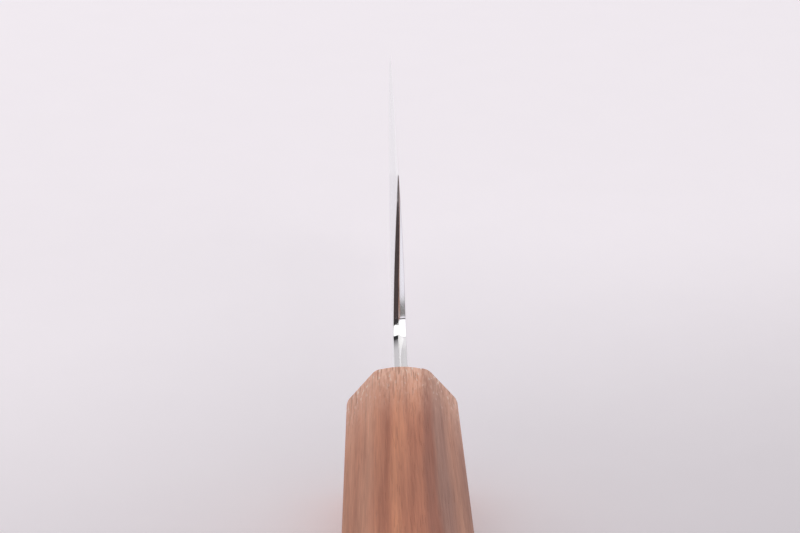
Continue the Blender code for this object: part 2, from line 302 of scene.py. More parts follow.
class BladeShape:
    """The steel as a field: outline heights and half thickness for any place in the (x, z) plane."""

    def __init__(self, sizes):
        self.sizes = sizes
        self.length = OUTLINE.tip_x - OUTLINE.heel_x
        self.tang_length = OUTLINE.mouth_x - OUTLINE.tang_end_x
        self.shoulder_x = OUTLINE.mouth_x - sizes.neck_seat - sizes.shoulder_run

    def along(self, x):
        return min(max((x - OUTLINE.heel_x) / self.length, 0.0), 1.0)

    def edge_z(self, x):
        drop = OUTLINE.heel_z - OUTLINE.tip_z
        return OUTLINE.heel_z - drop * self.along(x) ** self.sizes.belly_power

    def full_spine_z(self, x):
        way = max((x - OUTLINE.heel_x) / (OUTLINE.clip_x - OUTLINE.heel_x), 0.0)
        return mix(OUTLINE.spine_z, OUTLINE.clip_z, way)

    def tang_height(self, x):
        way = (x - self.shoulder_x) / (OUTLINE.tang_end_x - self.shoulder_x)
        return mix(self.sizes.tang_root, self.sizes.tang_end, way)

    def bottom_z(self, x):
        neck_end = OUTLINE.mouth_x - self.sizes.neck_seat
        if x <= self.shoulder_x:
            return OUTLINE.axis_z - self.tang_height(x) / 2
        if x < neck_end:
            root_z = OUTLINE.axis_z - self.sizes.tang_root / 2
            return mix(root_z, OUTLINE.spine_z, (x - self.shoulder_x) / self.sizes.shoulder_run)
        if x <= OUTLINE.clip_x:
            return self.full_spine_z(x)
        way = (x - OUTLINE.clip_x) / (OUTLINE.tip_x - OUTLINE.clip_x)
        return mix(OUTLINE.clip_z, OUTLINE.tip_z, way)

    def spine_thickness(self, x):
        if x < OUTLINE.mouth_x:
            back = (OUTLINE.mouth_x - x) / self.tang_length
            return mix(self.sizes.neck_thickness, self.sizes.tang_thickness, back)
        return mix(self.sizes.neck_thickness, self.sizes.tip_thickness, self.along(x))

    def half(self, place):
        """Half thickness: a convex grind from the spine down to just behind the edge."""
        x, z = place
        top = self.edge_z(x)
        depth = min(max((top - z) / (top - self.full_spine_z(x)), 0.0), 1.0)
        ground = 1.0 - (1.0 - depth) ** self.sizes.grind_power
        return mix(self.sizes.behind_edge, self.spine_thickness(x), ground) / 2


def arc(centre, radius, start, end, steps):
    """Points on an arc in (x, z), from start to end in degrees."""
    points = []
    for step in range(steps + 1):
        angle = math.radians(mix(start, end, step / steps))
        points.append(centre + radius * Vector((math.cos(angle), math.sin(angle))))
    return points


def column_ends(shape):
    """Pairs of places on the upper and the lower outline, from the end of the tang to near the tip.

    From the tang to the end of the fillet a pair stands upright. The choil's pairs fan out towards
    the spine, and the edge's pairs straighten up again on the way to the tip.
    """
    sizes = shape.sizes
    neck_end = OUTLINE.mouth_x - sizes.neck_seat
    pairs = []
    for step in range(TANG_STEPS + 1):
        x = mix(OUTLINE.tang_end_x, shape.shoulder_x, step / TANG_STEPS)
        pairs.append((Vector((x, OUTLINE.axis_z + shape.tang_height(x) / 2)), x))
    radius, lift = sizes.choil_fillet, sizes.blend_angle
    rise = sizes.neck_blend * math.tan(lift) / RISE_POWER
    corner = Vector((OUTLINE.heel_x - radius, OUTLINE.neck_top_z + rise + radius * math.cos(lift)))
    blend_end = corner.x + radius * math.sin(lift)
    for step in range(NECK_STEPS):
        x = mix(neck_end, blend_end - sizes.neck_blend, step / NECK_STEPS)
        pairs.append((Vector((x, OUTLINE.neck_top_z)), x))
    for step in range(BLEND_STEPS):
        x = blend_end - sizes.neck_blend * (1.0 - step / BLEND_STEPS)
        pairs.append((Vector((x, OUTLINE.neck_top_z + rise * (step / BLEND_STEPS) ** RISE_POWER)), x))

    fillet = arc(corner, radius, math.degrees(lift) - 90.0, 0.0, FILLET_STEPS)
    pairs += [(point, point.x) for point in fillet]
    foot = fillet[FILLET_STEPS]
    choil_top = Vector((OUTLINE.heel_x, OUTLINE.heel_z - sizes.heel_round))
    rising = [foot.lerp(choil_top, step / CHOIL_STEPS) for step in range(1, CHOIL_STEPS)]
    heel_centre = choil_top + Vector((sizes.heel_round, 0.0))
    rising += arc(heel_centre, sizes.heel_round, 180.0, 90.0, HEEL_STEPS)
    behind_roof = foot.x + sizes.left_slope * sizes.neck_thickness / 2 + sizes.corner_round
    fan_x = heel_centre.x + sizes.choil_fan
    for point in rising:
        pairs.append((point, mix(behind_roof, fan_x, (point.y - foot.y) / (OUTLINE.heel_z - foot.y))))

    steps = sizes.edge_steps
    below = [mix(fan_x, OUTLINE.clip_x, step / steps) for step in range(1, steps + 1)]
    for step in range(1, CLIP_STEPS):
        below.append(mix(OUTLINE.clip_x, OUTLINE.tip_x, 1.0 - (1.0 - step / CLIP_STEPS) ** CLIP_CROWDING))
    for x in below:
        above = mix(heel_centre.x, OUTLINE.tip_x, (x - fan_x) / (OUTLINE.tip_x - fan_x))
        pairs.append((Vector((above, shape.edge_z(above))), x))
    return [(top, Vector((x, shape.bottom_z(x)))) for top, x in pairs]


def inward(points, index, turn):
    """Unit normal of a polyline at a point, turned to the left for 1 and to the right for -1."""
    before = points[max(index - 1, 0)]
    after = points[min(index + 1, len(points) - 1)]
    along = (after - before).normalized()
    return turn * Vector((-along.y, along.x))


def ridge_rows(sizes, half, slope, ridge_round, core):
    """(y, depth) from the rounded ridge down one facet, past the core's limit, and round the corner."""
    blend = min(ridge_round, half / WIDTH_PARTS)
    rows = []
    for row in range(RIDGE_ROWS + 1):
        y = blend * row / RIDGE_ROWS
        rows.append((y, slope * y * y / (2 * blend)))
    radius = min(sizes.corner_round, half / WIDTH_PARTS)
    flat_end = half - radius
    limit = min(max(core, blend), flat_end)
    rows.append((limit, slope * (limit - blend / 2)))
    drop = slope * (flat_end - blend / 2)
    for out, down in quarter_turn(CORNER_ROWS):
        rows.append((flat_end + radius * out, drop + radius * down))
    return rows


def bevel_rows(shape, top, height):
    """(place, y) down the bevel along the edge, with as many rows as the ridge has."""
    foot = top - Vector((0.0, height))
    half = shape.half(foot)
    return [(top.lerp(foot, row / FACE_START), half * row / FACE_START) for row in range(FACE_START + 1)]


def roof_points(shape, top, into, side):
    """(place, y) from the ridge to the face on one side of the neck or the choil."""
    sizes = shape.sizes
    height_share = max(top.y - OUTLINE.neck_top_z, 0.0) / (OUTLINE.heel_z - OUTLINE.neck_top_z)
    on_choil = min(height_share / CHOIL_START, 1.0)
    slope, neck_ridge = sizes.left_slope, sizes.neck_left_ridge
    if side < 0:
        slope, neck_ridge = mix(sizes.right_slope, sizes.choil_slope, on_choil), sizes.neck_right_ridge
    ridge_round = mix(neck_ridge, sizes.choil_ridge, on_choil)
    half = shape.half(top + into * sizes.corner_round)
    ridge_y = 0.0
    if top.x <= OUTLINE.heel_x:
        place = mix(sizes.neck_ridge_place, sizes.choil_ridge_place, smooth(on_choil))
        ridge_y = side * mix(place, -sizes.ridge_aside * half, height_share**2)
    limit = (core_half(sizes, top, side) - ridge_y) / (half - ridge_y) * half
    rows = ridge_rows(sizes, half, slope, ridge_round, limit)
    return [(top + into * depth, mix(ridge_y, half, y / half)) for y, depth in rows]


def column(shape, tops, bottoms, index, side):
    """One side of a section, left for 1 and right for -1, and the rows between which the cladding lies."""
    sizes = shape.sizes
    top, bottom = tops[index], bottoms[index]
    span = (top - bottom).length
    points = roof_points(shape, top, inward(tops, index, -1), side)
    if top.x > OUTLINE.heel_x:
        reach = min((top.x - OUTLINE.heel_x) / sizes.heel_round, 1.0)
        bevel = bevel_rows(shape, top, min(sizes.edge_bevel, HEIGHT_SHARE * span))
        points = [
            (near.lerp(far, reach), mix(y, far_y, reach))
            for (near, y), (far, far_y) in zip(points, bevel)
        ]
    up = inward(bottoms, index, 1)
    radius = min(sizes.spine_round, THICKNESS_SHARE * shape.half(bottom), HEIGHT_SHARE * span)
    face_start, start_half = points[-1]
    face_end = bottom + up * radius
    outer = shape.half(face_end)

    seam = seam_share(shape, face_start, face_end, side)
    for row in range(1, FACE_ROWS + 1):
        way = seam * row / CORE_ROWS
        if row > CORE_ROWS:
            way = mix(seam, 1.0, (row - CORE_ROWS) / (FACE_ROWS - CORE_ROWS))
        place = face_start.lerp(face_end, way)
        points.append((place, shape.half(place)))
    for down, inwards in quarter_turn(SPINE_ROWS)[1:]:
        points.append((bottom + up * radius * (1.0 - down), outer - radius * inwards))
    points.append((bottom, min(core_half(sizes, bottom, side), outer - radius)))
    points.append((bottom, 0.0))

    first = FACET_ROW if start_half > core_half(sizes, top, side) else SEAM_ROW
    last = SPINE_ROW if seam < 1.0 else first
    return [Vector((place.x, side * y, place.y)) for place, y in points], first, last


def wave(place, lengths, layer):
    """Noise about 0 over the side of the blade, cut from one layer of the noise in space."""
    return noise.noise(Vector((place.x / lengths[0], layer, place.y / lengths[1])))


def core_half(sizes, place, side):
    """Half the core's thickness at a place on one side: the layers were forged out unevenly."""
    slow = wave(place, SLOW_WAVE, SLOW_LAYER * side)
    fine = wave(place, FINE_WAVE, FINE_LAYER * side)
    return sizes.core_thickness / 2 * (1.0 + sizes.core_waver * (slow + FINE_SHARE * fine))


def seam_share(shape, start, end, side):
    """Share of the way down a face where the core dives under the cladding, or 1 where it never does."""
    if shape.half(end) < core_half(shape.sizes, end, side):
        return 1.0
    low, high = 0.0, 1.0
    for _ in range(HALVINGS):
        middle = (low + high) / 2
        place = start.lerp(end, middle)
        if shape.half(place) < core_half(shape.sizes, place, side):
            low = middle
        else:
            high = middle
    return max(high, LEAST_SEAM)


def core_part(points, first, last):
    """The points of a column with the cladding's rows drawn together, so that the core closes there."""
    return [points[min(row, first)] if row < last else points[row] for row in range(len(points))]


def cladding_part(points, first, last):
    """The cladding's rows of a column, and back to the first, so that they close."""
    return [points[min(max(row, first), last)] for row in range(SPINE_ROW + 1)] + [points[first]]


def steel_layer(name, sizes, sides, part, materials, node):
    """One steel layer, lofted from the parts of the columns on the given sides."""
    shape = BladeShape(sizes)
    tops, bottoms = zip(*column_ends(shape))
    bm = bmesh.new()
    for side in sides:
        columns = []
        for index in range(len(tops)):
            points = part(*column(shape, tops, bottoms, index, side))
            columns.append([bm.verts.new(point) for point in points])
        bm.faces.new(columns[0])
        tip = bm.verts.new((OUTLINE.tip_x, 0.0, OUTLINE.tip_z))
        for near, far in zip(columns, columns[1:]):
            for row in range(len(near) - 1):
                add_face(bm, (near[row], far[row], far[row + 1], near[row + 1]), row)
        if part is core_part:
            last = columns[-1]
            for row in range(len(last) - 1):
                add_face(bm, (last[row], tip, last[row + 1]), row)
    bmesh.ops.remove_doubles(bm, verts=bm.verts, dist=WELD)
    bmesh.ops.delete(bm, geom=[vert for vert in bm.verts if not vert.link_faces], context="VERTS")
    bmesh.ops.recalc_face_normals(bm, faces=bm.faces)
    mesh = finished_mesh(bm, name)
    mesh.set_sharp_from_angle(angle=SHARP_STEEL)
    for material in materials:
        mesh.materials.append(material)
    return place_piece(name, mesh, node)


def finished_mesh(bm, name):
    """Turns what was built in bm into a mesh, and frees bm."""
    mesh = bpy.data.meshes.new(name)
    bm.to_mesh(mesh)
    bm.free()
    return mesh


def add_object(name, data):
    """Puts a mesh, a light or a camera in the scene."""
    made = bpy.data.objects.new(name, data)
    bpy.context.scene.collection.objects.link(made)
    return made


def add_face(bm, corners, row):
    """A face in the strip after a row. The strips that close a layer inside the steel stay flat."""
    made = bm.faces.new(corners)
    made.material_index = FACE if FACE_START <= row < FACE_END else GROUND
    made.smooth = row != SPINE_ROW - 1 and row != SPINE_ROW


def place_piece(name, mesh, node):
    """Puts a piece in the scene in the place of its node."""
    piece = add_object(name, mesh)
    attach(piece, "root")
    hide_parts(node)
    return piece


class Nodes:
    """A node tree being put together: it adds nodes and joins their sockets."""

    def __init__(self, tree):
        self.tree = tree

    def node(self, kind, inputs=None, **settings):
        made = self.tree.nodes.new("ShaderNode" + kind)
        for key, value in settings.items():
            setattr(made, key, value)
        self.fill(made, inputs or {})
        return made

    def fill(self, made, inputs):
        for key, value in inputs.items():
            if isinstance(value, bpy.types.NodeSocket):
                self.tree.links.new(value, made.inputs[key])
            else:
                made.inputs[key].default_value = value

    def split(self, output):
        """The parts X, Y and Z of a texture coordinate."""
        return self.node("SeparateXYZ", {"Vector": self.node("TexCoord").outputs[output]}).outputs

    def math(self, operation, first, second=0.0):
        return self.node("Math", {0: first, 1: second}, operation=operation).outputs[0]

    def times(self, first, second):
        return self.math("MULTIPLY", first, second)

    def span(self, value, low, high, new_low=0.0, new_high=1.0, **settings):
        """Maps low and high to new_low and new_high, and holds there what lies beyond."""
        inputs = {"Value": value, "From Min": low, "From Max": high}
        inputs.update({"To Min": new_low, "To Max": new_high})
        return self.node("MapRange", inputs, **settings).outputs["Result"]


class Finish(Nodes):
    """A material being put together."""

    def __init__(self, name):
        self.material = bpy.data.materials.new(name)
        self.material.use_nodes = True
        super().__init__(self.material.node_tree)
        self.shader = self.tree.nodes["Principled BSDF"]

    def shade(self, **inputs):
        named = {key.replace("_", " "): value for key, value in inputs.items()}
        self.fill(self.shader, named)

    def noise(self, cycles, turn=0.0, detail=2.0, roughness=0.5, distortion=0.0):
        """Noise with these cycles per metre along X, Y and Z, after a turn about X."""
        where = self.node("TexCoord").outputs["Object"]
        mapping = {"Vector": where, "Rotation": (turn, 0.0, 0.0), "Scale": cycles}
        inputs = {"Vector": self.node("Mapping", mapping).outputs["Vector"], "Scale": 1.0}
        inputs.update({"Detail": detail, "Roughness": roughness, "Distortion": distortion})
        return self.node("TexNoise", inputs).outputs["Fac"]

    def ramp(self, factor, stops):
        """A ramp through stops given as (place, colour) or (place, brightness)."""
        made = self.node("ValToRGB", {"Fac": factor})
        elements = made.color_ramp.elements
        while len(elements) < len(stops):
            elements.new(1.0)
        for element, (place, value) in zip(elements, stops):
            element.position = place
            element.color = rgba(value) if hasattr(value, "__len__") else (value, value, value, 1.0)
        return made.outputs["Color"]

    def blend(self, factor, first, second, kind="MIX"):
        """Mixes two colours, which the node's inputs 6 and 7 and its output 2 carry."""
        made = self.node("Mix", {"Factor": factor}, data_type="RGBA", blend_type=kind)
        self.fill(made, {6: first, 7: second})
        return made.outputs[2]

    def bump(self, height, distance, strength=1.0, under=None):
        inputs = {"Height": height, "Distance": distance, "Strength": strength}
        if under is not None:
            inputs["Normal"] = under
        return self.node("Bump", inputs).outputs["Normal"]


def rgba(value):
    return (*value, 1.0)


# Noises of the wood: cycles per metre, few along the grain, a turn that keeps them apart, and detail,
# roughness and distortion
DRIFT = ((11.0, 90.0, 90.0), 0.5, 3.0)
STREAKS = ((20.0, 760.0, 760.0), 1.1, 4.0, 0.6)
FIBRES = ((110.0, 4600.0, 4600.0), 0.0, 2.0)
PORES = ((115.0, 3600.0, 3600.0), 0.3, 1.0, 0.5, 0.2)
THICKETS = ((30.0, 420.0, 420.0), 0.9, 2.0)
FLECKS = ((260.0, 2600.0, 2600.0), 0.7, 2.0)
TORN_SPOTS = ((420.0, 1900.0, 1900.0), 0.2, 1.0)

# Where the patches of a coarse noise begin and are full, how worn the wood is outside and inside its
# flecks, and where the torn spots begin and are full
PATCHES = (0.35, 0.65)
WEAR = (0.6, 1.3)
TORN = (0.62, 0.68)

# The growth layers: how far they drift and lean, and how far right of the middle they begin, as a share
# of the handle's width
DRIFT_REACH = 0.13
LEAN = 0.12
RIGHT_SHARE = 0.36

# Tints that streaks and fibres give the layers
STREAK_TINTS = ((0.32, (0.82, 0.79, 0.8)), (0.5, (1.0, 1.0, 1.0)), (0.7, (1.15, 1.17, 1.14)))
FIBRE_TINTS = ((NOISE_LOW, (0.92, 0.91, 0.91)), (NOISE_HIGH, (1.07, 1.07, 1.07)))

# Along the handle from its mouth: the stretch over which light and shade are painted, its painted
# brightness, lighter near the mouth and darker further back, and the bright streak's place across the
# layers, reach and glow
PAINTED_SHADE_LENGTH = 120 * MM
PAINTED_LIGHT_AND_SHADE_ALONG = ((0.0, 1.14), (0.2, 1.04), (0.4, 0.91), (0.5, 0.91), (0.6, 1.0))
FLAME_ACROSS = ((0.38, 0.0), (0.42, 1.0), (0.48, 1.0), (0.52, 0.0))
FLAME_ALONG = ((0.08, 1.0), (0.26, 0.0))
FLAME_GLOW = 1.16

# The wood that was sanded bare at the mouth, painted paler with sheen: its reach, how fast it fades, and
# its torn fibres' colour, which also paints glints
SANDED_LENGTH = 40 * MM
SANDED_POWER = 2.5
TORN_AND_GLINT_COLOUR = (1.0, 0.86, 0.76, 1.0)

# How high a pore's noise has to be where pores are few and in thickets, how much less where the wood is
# sanded, and the width of a pore's rim
PORE_LIMITS = (0.68, 0.61)
SANDED_PORE_LIMIT = 0.06
PORE_RIM = 0.035

# Roughness of the wood in its dull and its bright streaks, and depth and strength of its relief
WOOD_ROUGHNESS = (0.66, 0.54)
PORE_RELIEF = (0.05 * MM, 0.8)
FIBRE_RELIEF = (0.015 * MM, 0.5)

# How dark pores show: on the dowel, on the handle, and how much more where it is sanded
DOWEL_PORES = 0.4
HANDLE_PORES = 0.18
SANDED_PORES = 0.36


def wood_layers(finish, tones, span):
    """Growth layers across Y with streaks and fibres along X: the layer, the colour and two noises."""
    where = finish.split("Object")
    drift = finish.span(finish.noise(*DRIFT), 0.0, 1.0, -DRIFT_REACH, DRIFT_REACH)
    leaning = finish.math("ADD", where["Y"], finish.times(where["Z"], LEAN))
    across = finish.span(leaning, -RIGHT_SHARE * span, (1.0 - RIGHT_SHARE) * span)
    layer = finish.math("ADD", across, drift)
    streaks, fibres = finish.noise(*STREAKS), finish.noise(*FIBRES)
    tone = finish.ramp(layer, tones)
    tone = finish.blend(1.0, tone, finish.ramp(streaks, STREAK_TINTS), "MULTIPLY")
    tone = finish.blend(1.0, tone, finish.ramp(fibres, FIBRE_TINTS), "MULTIPLY")
    return layer, tone, streaks, fibres


def pore_limit(finish):
    """How high the pores' noise has to be: less in thickets, where they crowd."""
    return finish.span(finish.noise(*THICKETS), *PATCHES, *PORE_LIMITS)


def finish_wood(finish, tone, pore, shown, limit, streaks, fibres):
    """Opens the pores in the wood and joins its colour, gloss and relief to the shader."""
    open_pores = finish.span(finish.math("SUBTRACT", finish.noise(*PORES), limit), 0.0, PORE_RIM)
    tone = finish.blend(finish.times(open_pores, shown), tone, rgba(pore))
    roughness = finish.span(streaks, NOISE_LOW, NOISE_HIGH, *WOOD_ROUGHNESS)
    relief = finish.bump(finish.times(open_pores, -1.0), *PORE_RELIEF)
    relief = finish.bump(fibres, *FIBRE_RELIEF, relief)
    finish.shade(Base_Color=tone, Roughness=roughness, Normal=relief, Specular_IOR_Level=0.25)
    return finish.material


def dowel_finish(name, dark, light, span):
    """Plain unfinished wood."""
    finish = Finish(name)
    tones = [(0.1, light), (0.3, dark), (0.45, light), (0.7, dark), (0.9, light)]
    _, tone, streaks, fibres = wood_layers(finish, tones, span)
    return finish_wood(finish, tone, dark, DOWEL_PORES, pore_limit(finish), streaks, fibres)


def walnut_finish(name, colours, span):
    """Open-pored wood with a bright streak near the mouth, where it was sanded bare; painted lighter near
    the mouth and darker further back, with painted sheen on the bare wood.
    """
    finish = Finish(name)
    grey, bare = colours.wood_grey_and_sheen, colours.wood_bare_and_sheen
    layer, tone, streaks, fibres = wood_layers(finish, growth_layers(colours), span)
    along = finish.split("Object")["X"]
    back = finish.span(along, OUTLINE.mouth_x, OUTLINE.mouth_x - PAINTED_SHADE_LENGTH)
    # Painted light and shade: the wood is painted lighter near the mouth and darker further back
    tone = finish.blend(1.0, tone, finish.ramp(back, PAINTED_LIGHT_AND_SHADE_ALONG), "MULTIPLY")
    flame = finish.times(finish.ramp(layer, FLAME_ACROSS), finish.ramp(back, FLAME_ALONG))
    tone = finish.blend(flame, tone, rgba([FLAME_GLOW * part for part in colours.wood_light]))

    near = finish.span(along, OUTLINE.mouth_x - SANDED_LENGTH, OUTLINE.mouth_x)
    sanded = finish.math("POWER", near, SANDED_POWER)
    worn = finish.times(sanded, finish.span(finish.noise(*FLECKS), *PATCHES, *WEAR))
    # Sanded bare wood; its pale tones also paint the sheen that the bare wood reflects
    bare_and_sheen_tones = [
        (0.03, mix_tone(bare, grey, 0.25)),
        (0.2, mix_tone(bare, grey, 0.5)),
        (0.3, mix_tone(bare, grey, 0.4)),
        (0.42, bare),
        (0.7, bare),
        (0.8, mix_tone(bare, grey, 0.2)),
    ]
    tone = finish.blend(worn, tone, finish.ramp(layer, bare_and_sheen_tones))
    # Torn fibres, whose near-white colour also paints glints
    torn = finish.span(finish.noise(*TORN_SPOTS), *TORN)
    torn = finish.times(torn, finish.math("POWER", sanded, 2.0))
    tone = finish.blend(torn, tone, TORN_AND_GLINT_COLOUR)

    shown = finish.math("ADD", finish.times(sanded, SANDED_PORES), HANDLE_PORES)
    lower = finish.times(sanded, SANDED_PORE_LIMIT)
    limit = finish.math("SUBTRACT", pore_limit(finish), lower)
    return finish_wood(finish, tone, colours.pore, shown, limit, streaks, fibres)


def growth_layers(colours):
    """The tones of the handle's layers as (share of its width from right to left, colour). The pale layers
    near both sides paint sheen on the chamfers, and the grey layer is a grey streak that also paints sheen
    along the right chamfer.
    """
    dark, mid, light = colours.wood_dark, colours.wood_mid, colours.wood_light
    pale_sheen, grey = colours.wood_pale_sheen, colours.wood_grey_and_sheen
    return [
        # Painted sheen: the pale tones near both sides and the grey tones on the right
        (0.02, mix_tone(pale_sheen, grey, 0.9)),
        (0.12, mix_tone(pale_sheen, grey, 0.4)),
        (0.20, grey),
        (0.25, grey),
        (0.285, dark),
        (0.33, dark),
        (0.38, mid),
        (0.46, mid),
        (0.52, mix_tone(mid, light, 0.3)),
        (0.56, light),
        (0.6, light),
        (0.63, mid),
        (0.66, mix_tone(mid, dark, 0.2)),
        (0.72, mix_tone(mid, pale_sheen, 0.4)),
        (0.78, pale_sheen),
        (0.86, mix_tone(mid, pale_sheen, 0.6)),
        (0.93, pale_sheen),
    ]


def mix_tone(first, second, share):
    return [mix(one, other, share) for one, other in zip(first, second)]


# Finishes of the steel, polished on neck, choil and spine: roughness at its lowest and highest, cycles
# per metre of the fine lines along X, Y and Z, and how deep they are
POLISHED = (0.05, 0.12, (60.0, 2200.0, 60.0), 0.004 * MM)
CORE_FACE = (0.08, 0.16, (40.0, 200.0, 1500.0), 0.001 * MM)
CLADDING_FACE = (0.15, 0.28, (900.0, 200.0, 25.0), 0.0008 * MM)

# How much of the steel's sheen comes from the lines, the clouds that give the rest, where the sheen is
# darkest and full, the tint of the darkest places, and how strong the relief is
LINE_SHARE = 0.6
CLOUDS = ((90.0, 140.0, 140.0), 0.0, 3.0)
SHEEN = (0.25, 0.75)
DARK_STEEL = 0.93
LINE_RELIEF = 0.6


def steel_finish(name, tint, smoothest, roughest, cycles, relief):
    """Metal with fine finishing lines, given as cycles per metre along X, Y and Z: few for a long line."""
    finish = Finish(name)
    lines = finish.noise(cycles, detail=5.0, roughness=0.75)
    clouded = finish.times(finish.noise(*CLOUDS), 1.0 - LINE_SHARE)
    sheen = finish.math("ADD", finish.times(lines, LINE_SHARE), clouded)
    roughness = finish.span(sheen, NOISE_LOW, NOISE_HIGH, smoothest, roughest)
    dark = [DARK_STEEL * part for part in tint]
    shade = finish.ramp(sheen, [(SHEEN[0], dark), (SHEEN[1], tint)])
    normal = finish.bump(lines, relief, LINE_RELIEF)
    finish.shade(Base_Color=shade, Metallic=1.0, Roughness=roughness, Normal=normal)
    return finish.material


# The resin: the noise of its skin, where dust covers it and how bright that is, its roughness and relief
SKIN = ((700.0, 700.0, 700.0), 0.0, 3.0)
DUSTY = 0.75
DUST = 1.6
RESIN_ROUGHNESS = (0.28, 0.45)
SKIN_RELIEF = (0.03 * MM, 0.5)


def resin_finish(name, tint):
    """Cast resin with a faint skin and fine dust."""
    finish = Finish(name)
    skin = finish.noise(*SKIN)
    shade = finish.ramp(skin, [(NOISE_LOW, tint), (DUSTY, [DUST * part for part in tint])])
    roughness = finish.span(skin, NOISE_LOW, NOISE_HIGH, *RESIN_ROUGHNESS)
    finish.shade(Base_Color=shade, Roughness=roughness, Normal=finish.bump(skin, *SKIN_RELIEF))
    return finish.material


# The floor's paper: its noise, the tint of its darkest places and its roughness
PAPER = ((60.0, 60.0, 60.0), 0.0, 4.0)
DARK_PAPER = 0.985
PAPER_ROUGHNESS = 0.85

# The floor's painted glow, light given out by the floor though it is no lamp, fades from far to near and
# so
# paints shade near the camera: where it is least and full, what is left of it near the camera, and how
# much the line of equal glow slants
PAINTED_FLOOR_FADE = (-0.13, 0.11)
LEAST_PAINTED_GLOW = 0.24
FLOOR_SLANT = 0.5


def floor_finish(tint, glow):
    """Pale matt paper with a painted glow of its own, fading to painted shade near the camera."""
    finish = Finish("floor")
    dark = [DARK_PAPER * part for part in tint]
    shade = finish.ramp(finish.noise(*PAPER), [(NOISE_LOW, dark), (NOISE_HIGH, tint)])
    where = finish.split("Object")
    ahead = finish.math("ADD", where["X"], finish.times(where["Y"], FLOOR_SLANT))
    painted_glow_fade = finish.span(ahead, *PAINTED_FLOOR_FADE, LEAST_PAINTED_GLOW, 1.0, interpolation_type="SMOOTHSTEP")
    light = finish.times(painted_glow_fade, glow)
    finish.shade(Base_Color=shade, Roughness=PAPER_ROUGHNESS, Specular_IOR_Level=0.0)
    # Painted glow: the floor gives out light of its own, fading to painted shade near the camera
    finish.shade(Emission_Color=rgba(tint), Emission_Strength=light)
    return finish.material


class KNIFE_OT_core(Operator):
    """Make the hard core steel, which shows along the edge and as a line on the spine"""

    bl_idname = "knife.core"
    bl_label = "Core steel"

    def execute(self, context):
        sizes, colours = context.scene.knife_blade, context.scene.knife_finishes
        ground = steel_finish("core_polished", colours.core, *POLISHED)
        face = steel_finish("core_face", colours.core, *CORE_FACE)
        finishes = ground, face
        steel_layer("core_steel_piece", sizes, (1, -1), core_part, finishes, "core_steel")
        return {"FINISHED"}


class KNIFE_OT_claddings(Operator):
    """Make the two softer steel layers that are forge-welded to the core"""

    bl_idname = "knife.claddings"
    bl_label = "Claddings"

    def execute(self, context):
        sizes, colours = context.scene.knife_blade, context.scene.knife_finishes
        ground = steel_finish("cladding_polished", colours.cladding, *POLISHED)
        face = steel_finish("cladding_face", colours.cladding, *CLADDING_FACE)
        for side, node in ((1, "cladding_left"), (-1, "cladding_right")):
            name = node + "_piece"
            steel_layer(name, sizes, (side,), cladding_part, (ground, face), node)
        return {"FINISHED"}


def octagon(sizes, way, inset):
    """Corners (y, z) of the handle's section at a share of its length, moved inwards by an inset."""
    width = mix(sizes.mouth_width, sizes.butt_width, way)
    height = mix(sizes.mouth_height, sizes.butt_height, way)
    cut_y = sizes.chamfer_width * width / sizes.mouth_width
    cut_z = sizes.chamfer_height * height / sizes.mouth_height
    slant = math.hypot(cut_y, cut_z)
    half = width / 2 - inset
    low, high = inset, height - inset
    back_y = cut_y - inset * (1.0 + (cut_y - slant) / cut_z)
    back_z = cut_z - inset * (1.0 + (cut_z - slant) / cut_y)
    shoulder = high - sizes.crown
    right = [(half - back_y, low), (half, low + back_z), (half, high - back_z), (half - back_y, shoulder)]
    return right + [(-y, z) for y, z in reversed(right)]


def soft_section(sizes, way, inset):
    """The section with its corners rounded and its upper facets swelling a little, as (y, z)."""
    corners = [Vector(corner) for corner in octagon(sizes, way, inset)]
    count = len(corners)
    radius = max(sizes.edge_round - inset, LEAST_ROUND)
    stretches = []
    for index, corner in enumerate(corners):
        before = (corners[index - 1] - corner).normalized()
        after = (corners[(index + 1) % count] - corner).normalized()
        turn = before.angle(after)
        reach = radius / math.tan(turn / 2)
        centre = corner + (before + after).normalized() * radius / math.sin(turn / 2)
        start, end = corner + before * reach - centre, corner + after * reach - centre
        swing = math.pi - turn
        bend = []
        for step in range(ROUND_STEPS + 1):
            part = swing * step / ROUND_STEPS
            sine = math.sin(swing)
            spoke = start * (math.sin(swing - part) / sine) + end * (math.sin(part) / sine)
            bend.append(centre + spoke)
        stretches.append(bend)
    points = []
    for index, bend in enumerate(stretches):
        points += bend
        following = stretches[(index + 1) % count][0]
        swell = sizes.crown if index == TOP_FACET else 0.0
        for step in range(1, FACET_STEPS):
            way_along = step / FACET_STEPS
            rise = swell * (1.0 - (2 * way_along - 1.0) ** 2)
            points.append(bend[-1].lerp(following, way_along) + Vector((0.0, rise)))
    return points


def handle_stations(sizes, length_x):
    """Places along the handle as (distance behind the mouth, inset of the section), with round rims."""
    radius = sizes.rim_round
    rim = [(radius * (1.0 - out), radius * inwards) for out, inwards in quarter_turn(RIM_STEPS)]
    steps = range(1, BODY_STEPS)
    middle = [(mix(radius, length_x - radius, step / BODY_STEPS), 0.0) for step in steps]
    return rim[::-1] + middle + [(length_x - back, inset) for back, inset in rim]


def handle_mesh(sizes):
    """The octagonal block lofted from the mouth to the butt."""
    mouth_x, butt_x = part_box("handle")[1].x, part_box("handle")[0].x
    length_x = mouth_x - butt_x
    bm = bmesh.new()
    rings = []
    for back, inset in handle_stations(sizes, length_x):
        section = soft_section(sizes, back / length_x, inset)
        rings.append([bm.verts.new((mouth_x - back, y, z)) for y, z in section])
    for near, far in zip(rings, rings[1:]):
        for index in range(len(near)):
            after = (index + 1) % len(near)
            bm.faces.new((near[index], near[after], far[after], far[index]))
    bm.faces.new(rings[0])
    bm.faces.new(rings[-1])
    bmesh.ops.recalc_face_normals(bm, faces=bm.faces)
    return finished_mesh(bm, "handle_piece")


